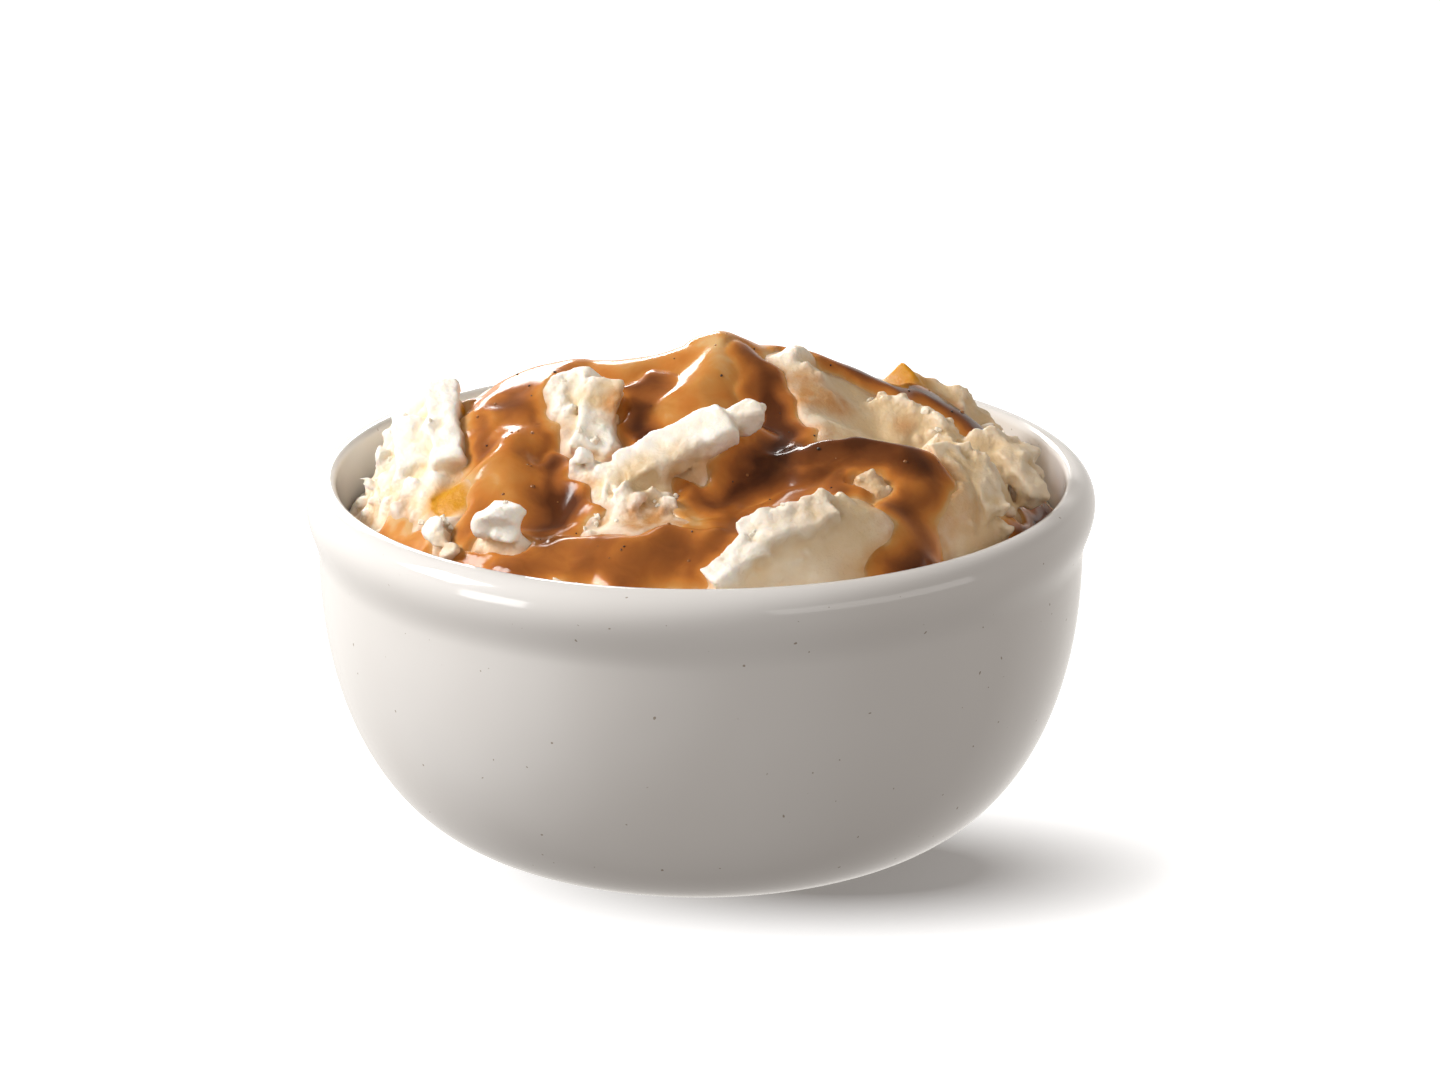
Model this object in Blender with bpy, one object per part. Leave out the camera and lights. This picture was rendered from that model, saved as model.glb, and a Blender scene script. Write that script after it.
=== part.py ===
"""Mashed potato side: a glazed stoneware bowl heaped with mash, with gravy poured over it.

Metres, +Z up. The origin is the middle of the bowl's foot, on the table, and -Y is the side
that faces the diner. Three solids: bowl, mash and gravy.
"""

import math
from collections import namedtuple

import bmesh
import bpy
import numpy as np

MM = 0.001

# Bowl
BAND_RADIUS = 65.0 * MM  # the widest part, the rolled band under the rim
RIM_HEIGHT = 59.8 * MM
BAND_HEIGHT = 55.3 * MM  # where the band is widest
NECK_HEIGHT = 47.0 * MM  # where the band runs out into the body
NECK_RADIUS = 63.2 * MM
CREST_RADIUS = 61.2 * MM  # the top of the rim
MOUTH_RADIUS = 60.0 * MM  # the inner edge of the rim
MOUTH_HEIGHT = 58.4 * MM
BODY_START = 36.0 * MM  # where the body's curve leaves the foot
BODY_POWER = 2.2  # a little fuller than an ellipse
FOOT_RADIUS = 34.5 * MM
RECESS_RADIUS = 27.0 * MM
RECESS_DEPTH = 1.2 * MM
WALL = 4.4 * MM
FLOOR_THICKNESS = 5.6 * MM
BOWL_SEGMENTS = 48

# Contents
CLEARANCE = 0.4 * MM  # between one solid and the next
GRID_RINGS = 18  # hexagonal rings of triangles over the heap
HEAP_CROWN = 67.0 * MM  # the heap's height without its folds
HEAP_FALL = 2.2  # how late the heap drops away to the bowl
SHORE_RADIUS = MOUTH_RADIUS - CLEARANCE - 0.3 * MM
BLEND = 0.7 * MM  # how softly folds run into each other
GRAVY_EDGE = 0.6 * MM  # the gravy's thickness where it ends
GRAVY_REACH = 3.6 * MM  # how far the gravy levels out the relief under it

# A fold is a ridge of mash: its crest line, how steeply it falls on the side to the right and
# to the left of the crest's direction, and how round the crest is.
Fold = namedtuple("Fold", "crest right left round")
FOLDS = {
    "summit": Fold([(-25, -2, 76.5), (-14, 0, 77), (-6, 0, 77.6), (3, 1, 80.4)], 0.6, 0.7, 3),
    "summit_east": Fold([(3, 1, 80.4), (10, 1, 78.4), (17, 2, 78.5), (29, 3, 72.5)], 0.6, 0.7, 2.5),
    "spout": Fold([(4, -1, 79), (0, -9, 77), (-4, -16, 74)], 0.8, 1, 3),
    "west_shoulder": Fold([(-25, -3, 76), (-32, -7, 73.5), (-35, -15, 70)], 1, 0.8, 2.5),
    "west_swell": Fold([(-30, -14, 72), (-31, -25, 68)], 0.8, 0.8, 4),
    "shard": Fold([(-23.5, -9, 78.4), (-18.5, -10.5, 80.6), (-17, -15, 77.5), (-16, -20, 73)], 1.6, 1.5, 0.8),
    "shard_fin": Fold([(-18, -10.5, 80.4), (-12.5, -12.5, 79.4)], 1.4, 2, 0.7),
    "shard_left": Fold([(-20.5, -11, 79), (-21.5, -16, 75)], 1.5, 1.1, 1),
    "slab": Fold([(-15, -30, 70.5), (-7, -28, 74), (3, -25.5, 77), (9, -23, 78.2)], 1.3, 1.8, 1),
    "slab_tail": Fold([(-17, -29, 70.5), (-15, -36, 66.5), (-5, -40, 65.5)], 1.3, 0.8, 2),
    "south_bulge": Fold([(-9, -45, 62.5), (-2, -44, 63)], 0.8, 0.5, 4),
    "gravy_shelf": Fold([(10, -27, 69.5), (20, -26, 71.5), (31, -28, 71), (37, -29, 69)], 0.8, 0.8, 2),
    "shelf_apron": Fold([(25, -33, 67.5), (12, -39, 64), (4, -45, 61)], 0.8, 0.8, 4),
    "tuft": Fold([(25, -34, 70.5), (28, -35, 70.5)], 1.5, 1.5, 1),
    "scoop_crest": Fold([(0, -56, 59.5), (7, -52, 63.5), (15, -47, 67), (21, -43, 69.2), (25, -40.5, 69.6)],
                        0.9, 1.5, 1),
    "scoop_face": Fold([(18, -46, 66.2), (25, -42, 67.2)], 0.8, 0.9, 4),
    "east_run": Fold([(34, -31, 68), (33, -42, 60)], 0.8, 0.8, 4),
    "east_crest": Fold([(37, -19, 71), (43, -22, 70), (46, -28, 65.5), (47, -35, 60)], 1.3, 1.1, 2),
    "east_slab": Fold([(45, -9, 69.5), (51, -8, 67), (55, -10, 61.5)], 0.9, 1.5, 2),
    "east_ragged": Fold([(30, -3, 73.5), (37, -6, 72), (41, -12, 68.5)], 1, 1.4, 1),
    "east_back": Fold([(30, 11, 68), (34, 14, 71), (43, 16, 68.5), (50, 14, 63.5)], 1, 1, 1.5),
    "butter_tip": Fold([(30.5, 14, 71.4), (33.8, 14.4, 75.6), (39, 15, 71)], 0.8, 0.9, 0.5),
    "knoll": Fold([(14, -4, 77), (17, -14, 73.5)], 0.7, 0.6, 5),
    "west_slab": Fold([(-43, -3, 75), (-41.5, -8, 74.8), (-41, -21, 66.5)], 1.4, 1.6, 2),
    "west_jag": Fold([(-47, -6, 71), (-44, -7, 71), (-43, -17, 66)], 1.3, 1.3, 1),
    "west_step": Fold([(-55, -12, 62.5), (-51, -11, 66), (-48, -19, 63)], 1.3, 1.2, 1.5),
    "west_low": Fold([(-52, -25, 60.5), (-45, -22, 65), (-41, -28, 62)], 1.1, 1.1, 2),
    "south_west": Fold([(-41, -35, 63), (-38, -43, 59.5)], 1.5, 1.5, 1),
    "island": Fold([(-32, -41, 66), (-27, -43, 65.5)], 1.6, 1.4, 2.5),
    "north": Fold([(-22, 22, 69), (-4, 20, 71), (16, 22, 70)], 0.8, 0.8, 3),
    "north_low": Fold([(-30, 38, 60), (-8, 42, 62), (14, 40, 63), (30, 32, 63)], 0.9, 1, 2),
    "north_west": Fold([(-44, 10, 63), (-38, 20, 65), (-30, 28, 64)], 1, 1, 2),
    "north_east": Fold([(24, 16, 69), (30, 24, 66), (34, 34, 61)], 1, 1, 2),
}

# Gravy runs: where each one flows in plan, its half width and its thickness, all in millimetres.
# The gravy also fills the hollows that it crosses, and crests stand out of it.
Run = namedtuple("Run", "path width depth")
RUNS = {
    "west_pour": Run([(-22, 1), (-32, -8), (-31, -20), (-28, -31), (-24, -38)], 7, 1.5),
    "west_foot": Run([(-33, -34), (-36, -41), (-30, -46)], 4, 1.4),
    "south_pool": Run([(-30, -47), (-22, -47), (-12, -50), (-2, -50), (4, -46)], 6, 1.8),
    "summit_pour": Run([(-20, 0), (-6, 0), (5, 2), (1, -10), (-5, -15)], 7, 1.5),
    "pocket": Run([(-9.5, -9), (-11, -21)], 5, 1.8),
    "gully": Run([(10, -8), (12, -14), (12, -20), (7, -28), (2, -36), (4, -46)], 6, 1.8),
    "shelf": Run([(10, -30), (20, -29), (30, -29), (36, -30)], 5, 1.8),
    "apron": Run([(22, -35), (12, -39), (2, -45)], 6, 1.6),
    "east_pour": Run([(35, -31), (33, -38), (32, -48)], 5, 1.6),
    "back_stripe": Run([(12, 6), (26, 6), (34, 7.5), (42, 8), (49, 5), (53, 1)], 4, 1.8),
    "back_pour": Run([(4, 4), (2, 18), (-6, 30), (-8, 44)], 8, 1.8),
    "back_branch": Run([(2, 16), (14, 26), (20, 40)], 6, 1.6),
}


def shore_height(angle):
    """Where the heap meets the bowl: high in front and low behind, in metres."""
    front = (1 - math.sin(angle)) / 2
    return (49.5 + 7.6 * front**2 + 0.5 * math.sin(5 * angle)) * MM


def nearest_on(path, x, y):
    """For each point, its distance to the path, its place along it, and the sine of its side."""
    best = np.full(x.shape, np.inf)
    along = np.zeros(x.shape)
    side = np.zeros(x.shape)
    for i, (a, b) in enumerate(zip(path[:-1], path[1:], strict=True)):
        dx, dy = b[0] - a[0], b[1] - a[1]
        length = math.hypot(dx, dy)
        t = np.clip(((x - a[0]) * dx + (y - a[1]) * dy) / length**2, 0, 1)
        px, py = x - a[0] - t * dx, y - a[1] - t * dy
        distance = np.hypot(px, py)
        closer = distance < best
        best = np.where(closer, distance, best)
        along = np.where(closer, i + t, along)
        sine = (px * dy - py * dx) / (length * np.maximum(distance, 1e-6))
        side = np.where(closer, sine, side)
    return best, along, side


def fold_height(fold, x, y):
    """The height of one fold, as a roof over its crest line, in millimetres."""
    distance, along, side = nearest_on([p[:2] for p in fold.crest], x, y)
    crest = np.interp(along, range(len(fold.crest)), [p[2] for p in fold.crest])
    slope = fold.left + (fold.right - fold.left) * (side + 1) / 2
    return crest - slope * (np.hypot(distance, fold.round) - fold.round)


def wander(x, y):
    """Bends the plan a little, so that no crest runs straight. Millimetres in and out."""
    bent_x = x + 0.9 * np.sin(0.47 * y + 1.3) + 0.5 * np.sin(0.83 * y - 0.31 * x)
    bent_y = y + 0.9 * np.sin(0.43 * x + 0.4) + 0.5 * np.sin(0.79 * x + 0.37 * y)
    return bent_x, bent_y


def heap_height(points):
    """The top of the mash over each point of the plan, in metres."""
    radius = np.minimum(np.hypot(points[:, 0], points[:, 1]) / SHORE_RADIUS, 1)
    shore = np.array([shore_height(math.atan2(y, x)) for x, y in points])
    heights = [(shore + (HEAP_CROWN - shore) * (1 - radius**HEAP_FALL)) / MM]
    x, y = wander(points[:, 0] / MM, points[:, 1] / MM)
    heights += [fold_height(fold, x, y) for fold in FOLDS.values()]
    blend = BLEND / MM
    top = np.max(heights, axis=0)
    soft = top + blend * np.log(np.sum(np.exp((np.array(heights) - top) / blend), axis=0))
    # The folds sink to the shore over the last stretch before the wall.
    reach = np.clip((1 - radius) / 0.14, 0, 1)
    reach = reach * reach * (3 - 2 * reach)
    return shore + (soft * MM - shore) * reach


def level_height(points, reach):
    """The heap's height averaged over a disc round each point, which fills hollows. Metres."""
    heights = [heap_height(points)]
    for share, count in ((0.5, 6), (1.0, 12)):
        for i in range(count):
            angle = 2 * math.pi * i / count
            step = reach * share * np.array([math.cos(angle), math.sin(angle)])
            heights.append(heap_height(points + step))
    return np.mean(heights, axis=0)


def gravy_depth(points, heights):
    """The gravy's thickness over each point, in metres, and below zero where there is none."""
    x, y = points[:, 0] / MM, points[:, 1] / MM
    depths = []
    for run in RUNS.values():
        distance = nearest_on(run.path, x, y)[0]
        depths.append(run.depth * (1.4 - (distance / run.width) ** 2))
    depth = np.max(depths, axis=0) * MM + (level_height(points, GRAVY_REACH) - heights)
    shore = SHORE_RADIUS - 3 * MM - np.hypot(points[:, 0], points[:, 1])
    return np.minimum(depth, shore)


def body_radius(height, start, top_radius, top, bottom):
    """The radius of a bowl wall that curves from the foot at bottom up to top_radius at top."""
    drop = (top - height) / (top - bottom)
    return start + (top_radius - start) * math.sqrt(max(0.0, 1 - drop**BODY_POWER))


def arc_heights(bottom, top, count):
    """Heights up a wall, close together near the foot, where it turns fastest."""
    return [bottom + (top - bottom) * (i / count) ** 2 for i in range(count + 1)]


def cavity_radius(height):
    """The radius of the bowl's inside at a height, in metres."""
    inner = NECK_RADIUS - WALL
    if height >= NECK_HEIGHT:
        share = (height - NECK_HEIGHT) / (MOUTH_HEIGHT - NECK_HEIGHT)
        return inner + (MOUTH_RADIUS - inner) * share
    start = BODY_START - WALL / 2
    return body_radius(height, start, inner, NECK_HEIGHT, FLOOR_THICKNESS)


def bowl_profile():
    """Half of the bowl's section as (radius, height), from under the foot round to the inside."""
    points = [(0, RECESS_DEPTH), (RECESS_RADIUS - RECESS_DEPTH, RECESS_DEPTH)]
    points += [(RECESS_RADIUS, 0), (FOOT_RADIUS, 0)]
    for height in arc_heights(0.8 * MM, NECK_HEIGHT, 9)[:-1]:
        points.append((body_radius(height, BODY_START, NECK_RADIUS, NECK_HEIGHT, 0), height))
    for i in range(4):  # the band swells out of the neck
        share = i / 4
        radius = NECK_RADIUS + (BAND_RADIUS - NECK_RADIUS) * (1 - math.cos(math.pi * share)) / 2
        points.append((radius, NECK_HEIGHT + (BAND_HEIGHT - NECK_HEIGHT) * share))
    for i in range(4):  # the band turns over into the rim
        turn = math.pi / 2 * i / 3
        radius = CREST_RADIUS + (BAND_RADIUS - CREST_RADIUS) * math.cos(turn)
        points.append((radius, BAND_HEIGHT + (RIM_HEIGHT - BAND_HEIGHT) * math.sin(turn)))
    for i in (1, 2):  # the rim turns down into the mouth
        turn = math.pi / 2 * i / 2
        radius = MOUTH_RADIUS + (CREST_RADIUS - MOUTH_RADIUS) * (1 - math.sin(turn))
        points.append((radius, MOUTH_HEIGHT + (RIM_HEIGHT - MOUTH_HEIGHT) * math.cos(turn)))
    for height in reversed(arc_heights(FLOOR_THICKNESS, NECK_HEIGHT, 7)):
        points.append((cavity_radius(height), height))
    points.append((0, FLOOR_THICKNESS))
    return points


def make_object(name, vertices, faces, material):
    """A named object from vertices and faces, shaded smooth up to a sharp edge."""
    mesh = bpy.data.meshes.new(name)
    mesh.from_pydata([tuple(v) for v in vertices], [], faces)
    shape = bmesh.new()
    shape.from_mesh(mesh)
    bmesh.ops.recalc_face_normals(shape, faces=shape.faces)
    shape.to_mesh(mesh)
    shape.free()
    mesh.shade_smooth()
    mesh.set_sharp_from_angle(angle=math.radians(40))
    mesh.materials.append(material)
    made = bpy.data.objects.new(name, mesh)
    bpy.context.scene.collection.objects.link(made)
    return made


def make_material(name, colour, roughness):
    material = bpy.data.materials.new(name)
    material.use_nodes = True
    shader = material.node_tree.nodes["Principled BSDF"]
    shader.inputs["Base Color"].default_value = (*colour, 1)
    shader.inputs["Roughness"].default_value = roughness
    shader.inputs["Metallic"].default_value = 0
    return material


def make_bowl():
    """The bowl's section turned about the Z axis, closed at both ends of the axis."""
    profile = bowl_profile()
    vertices = [(0, 0, profile[0][1])]
    for radius, height in profile[1:-1]:
        for i in range(BOWL_SEGMENTS):
            angle = 2 * math.pi * i / BOWL_SEGMENTS
            vertices.append((radius * math.cos(angle), radius * math.sin(angle), height))
    vertices.append((0, 0, profile[-1][1]))
    rings = len(profile) - 2
    last = len(vertices) - 1
    faces = []
    for i in range(BOWL_SEGMENTS):
        j = (i + 1) % BOWL_SEGMENTS
        faces.append((0, 1 + i, 1 + j))
        top = 1 + (rings - 1) * BOWL_SEGMENTS
        faces.append((last, top + j, top + i))
        for ring in range(rings - 1):
            low, high = 1 + ring * BOWL_SEGMENTS, 1 + (ring + 1) * BOWL_SEGMENTS
            faces.append((low + i, low + j, high + j, high + i))
    return make_object("bowl", vertices, faces, make_material("glaze", (0.80, 0.79, 0.77), 0.15))


def disc_grid(radius):
    """A disc of near-equal triangles: a centre and rings of 6, 12, 18 ... points."""
    points = [(0.0, 0.0)]
    start = [0]
    for ring in range(1, GRID_RINGS + 1):
        start.append(len(points))
        for i in range(6 * ring):
            angle = 2 * math.pi * i / (6 * ring)
            points.append((radius * ring / GRID_RINGS * math.cos(angle),
                           radius * ring / GRID_RINGS * math.sin(angle)))
    triangles = []
    for ring in range(1, GRID_RINGS + 1):
        outer, inner = start[ring], start[ring - 1]
        n_outer, n_inner = 6 * ring, max(6 * (ring - 1), 1)
        for sector in range(6):
            for i in range(ring):
                a = outer + sector * ring + i
                b = outer + (sector * ring + i + 1) % n_outer
                c = inner + (sector * (ring - 1) + i) % n_inner
                triangles.append((a, b, c))
                if i < ring - 1:
                    d = inner + (sector * (ring - 1) + i + 1) % n_inner
                    triangles.append((b, d, c))
    return np.array(points), triangles, start[GRID_RINGS]


def make_mash(points, triangles, first_outer, heights):
    """The mash: the heap on top, and below it the inside of the bowl, which it fills."""
    vertices = [(x, y, z) for (x, y), z in zip(points, heights, strict=True)]
    faces = list(triangles)
    count = 6 * GRID_RINGS
    above = [first_outer + i for i in range(count)]
    floor = FLOOR_THICKNESS + CLEARANCE
    levels = 5
    for level in range(levels):
        ring = []
        share = ((levels - level) / (levels + 1)) ** 1.6
        for i in range(count):
            angle = 2 * math.pi * i / count
            height = floor + (heights[first_outer + i] - floor) * share
            radius = cavity_radius(height - CLEARANCE) - CLEARANCE
            ring.append(len(vertices))
            vertices.append((radius * math.cos(angle), radius * math.sin(angle), height))
        for i in range(count):
            j = (i + 1) % count
            faces.append((above[i], ring[i], ring[j], above[j]))
        above = ring
    middle = len(vertices)
    vertices.append((0, 0, floor))
    faces += [(above[(i + 1) % count], above[i], middle) for i in range(count)]
    return make_object("mash", vertices, faces, make_material("mash", (0.83, 0.70, 0.50), 0.55))


def make_gravy(points, triangles, heights, depths):
    """The gravy: every part of the heap where the gravy is deep enough, given that thickness."""
    plan, top, bottom = [], [], []
    corner_of, cut_of = {}, {}

    def add(x, y, base, depth):
        plan.append((x, y))
        bottom.append(base + CLEARANCE)
        top.append(base + CLEARANCE + max(depth, GRAVY_EDGE))
        return len(plan) - 1

    def corner(i):
        if i not in corner_of:
            corner_of[i] = add(*points[i], heights[i], depths[i])
        return corner_of[i]

    def cut(i, j):
        key = (min(i, j), max(i, j))
        if key not in cut_of:
            i, j = key
            share = (GRAVY_EDGE - depths[i]) / (depths[j] - depths[i])
            share = min(0.92, max(0.08, share))
            x, y = points[i] + (points[j] - points[i]) * share
            cut_of[key] = add(x, y, heights[i] + (heights[j] - heights[i]) * share, GRAVY_EDGE)
        return cut_of[key]

    patches = []
    for triangle in triangles:
        ring = []
        for i, j in zip(triangle, (*triangle[1:], triangle[0]), strict=True):
            if depths[i] >= GRAVY_EDGE:
                ring.append(corner(i))
            if (depths[i] >= GRAVY_EDGE) != (depths[j] >= GRAVY_EDGE):
                ring.append(cut(i, j))
        if ring:
            patches.append(ring)

    count = len(plan)
    vertices = [(x, y, z) for (x, y), z in zip(plan, top, strict=True)]
    vertices += [(x, y, z) for (x, y), z in zip(plan, bottom, strict=True)]
    faces = [tuple(ring) for ring in patches]
    faces += [tuple(i + count for i in reversed(ring)) for ring in patches]
    edges = {(a, b) for ring in patches for a, b in zip(ring, (*ring[1:], ring[0]), strict=True)}
    faces += [(b, a, a + count, b + count) for a, b in sorted(edges) if (b, a) not in edges]
    return make_object("gravy", vertices, faces, make_material("gravy", (0.30, 0.11, 0.025), 0.12))


def main():
    for old in list(bpy.data.objects):
        bpy.data.objects.remove(old)
    make_bowl()
    points, triangles, first_outer = disc_grid(SHORE_RADIUS)
    heights = heap_height(points)
    edge_radius = [cavity_radius(z - CLEARANCE) - CLEARANCE for z in heights[first_outer:]]
    for i, radius in enumerate(edge_radius):
        points[first_outer + i] *= radius / SHORE_RADIUS
    make_mash(points, triangles, first_outer, heights)
    make_gravy(points, triangles, heights, gravy_depth(points, heights))


main()
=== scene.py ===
"""The looks of the mashed potato side: a glazed bowl, a heap of mash and the gravy over it.

The heap is sculpted as a field on a voxel grid, in millimetres: folds first, then clumps, then
crumbs. The gravy is a smoother copy of that field, raised by the gravy's thickness.
"""

import math
from collections import namedtuple

import bmesh
import bpy
import numpy as np
import openvdb
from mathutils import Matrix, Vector


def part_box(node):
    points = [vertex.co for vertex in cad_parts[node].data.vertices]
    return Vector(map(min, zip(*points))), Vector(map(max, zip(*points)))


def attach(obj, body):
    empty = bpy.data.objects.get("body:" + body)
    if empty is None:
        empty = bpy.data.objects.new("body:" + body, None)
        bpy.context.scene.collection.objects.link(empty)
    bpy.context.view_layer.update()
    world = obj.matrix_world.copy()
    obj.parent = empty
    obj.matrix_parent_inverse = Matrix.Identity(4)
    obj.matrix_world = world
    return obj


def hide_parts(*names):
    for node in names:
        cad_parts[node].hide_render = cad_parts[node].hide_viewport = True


MM = 0.001
VOXEL = 0.45  # the sculpting grid, mm

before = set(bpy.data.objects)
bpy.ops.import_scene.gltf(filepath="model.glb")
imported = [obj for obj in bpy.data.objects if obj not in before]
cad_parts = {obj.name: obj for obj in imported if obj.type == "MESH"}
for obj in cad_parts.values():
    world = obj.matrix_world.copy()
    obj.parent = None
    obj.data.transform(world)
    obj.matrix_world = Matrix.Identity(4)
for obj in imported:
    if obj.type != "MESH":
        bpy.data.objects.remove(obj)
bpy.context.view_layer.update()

# -------- sizes from the frame, mm

BAND_RADIUS, _, RIM_HEIGHT = np.array(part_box("bowl")[1]) / MM
BAND_HEIGHT = RIM_HEIGHT - 4.5
NECK_HEIGHT = RIM_HEIGHT - 12.8
NECK_RADIUS = BAND_RADIUS - 1.8
CREST_RADIUS = BAND_RADIUS - 3.8
MOUTH_RADIUS = BAND_RADIUS - 5.0
MOUTH_HEIGHT = RIM_HEIGHT - 1.4
WALL = 4.4
CLEARANCE = 0.4  # between the mash's underside and the bowl
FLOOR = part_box("mash")[0][2] / MM - CLEARANCE
BODY_START = 36.0
BODY_POWER = 2.2
FOOT_RADIUS = 34.5
RECESS_RADIUS = 27.0
RECESS_DEPTH = 1.2
SHORE_RADIUS = MOUTH_RADIUS - 0.7
# Rings of points up the recess, wall, neck, band and lip, and down the inside of the bowl.
RECESS_RINGS, WALL_RINGS, NECK_RINGS, BAND_RINGS, LIP_RINGS, INNER_RINGS = 4, 31, 13, 10, 6, 25

SHORE_BACK, SHORE_RISE = 49.5, 7.6  # the heap's edge behind, and how much higher it is in front
HEAP_CROWN = 67.0
HEAP_FALL = 2.2
BLEND = 0.7  # how far two folds blend where they meet
CREST_WIDTH = 2.6  # how far a crest's crumbs reach
EDGE_SHARE = 0.14  # the share of the radius in which the folds sink to the heap's edge
LUMP_CRUMB = 0.6  # how crumbly the separate lumps are
LUMP_REACH = 0.8  # how far a lump blends into the heap
PLANK_ROUND = 0.45  # how round a plank's edges are
PLANK_REACH = 1.0  # how far a plank blends into the heap
BIG_CLUMPS = (800, 2.0, 11, -0.65)  # count, radius, seed and height over the relief in radii
SMALL_CLUMPS = (4200, 0.95, 12, -0.5)
SKIN = 2.2  # how near the surface the crumbs are worked in
WALL_GAP = 0.35  # between the mash and the bowl's inside
GRAVY_GAP = 0.3  # how much farther the gravy stays from it
GRAVY_SINK = 0.7  # how far the gravy reaches into the mash under it
MASH_TRIANGLES, GRAVY_TRIANGLES = 190000, 180000
# The small pieces: how many, their least radius, how much it grows and by what power, and how
# high they stand over the surface, in radii.
GRAINS = {
    "mash_crumbs": (90, 0.35, 0.5, 2, -0.3),
    "pepper_specks": (50, 0.14, 0.16, 2, 0.1),
    "gravy_bubbles": (40, 0.15, 0.35, 3, -0.5),
}
GRID_LOW = np.array([-61.0, -61.0, 45.0])
GRID_HIGH = np.array([61.0, 61.0, 86.0])

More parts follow.
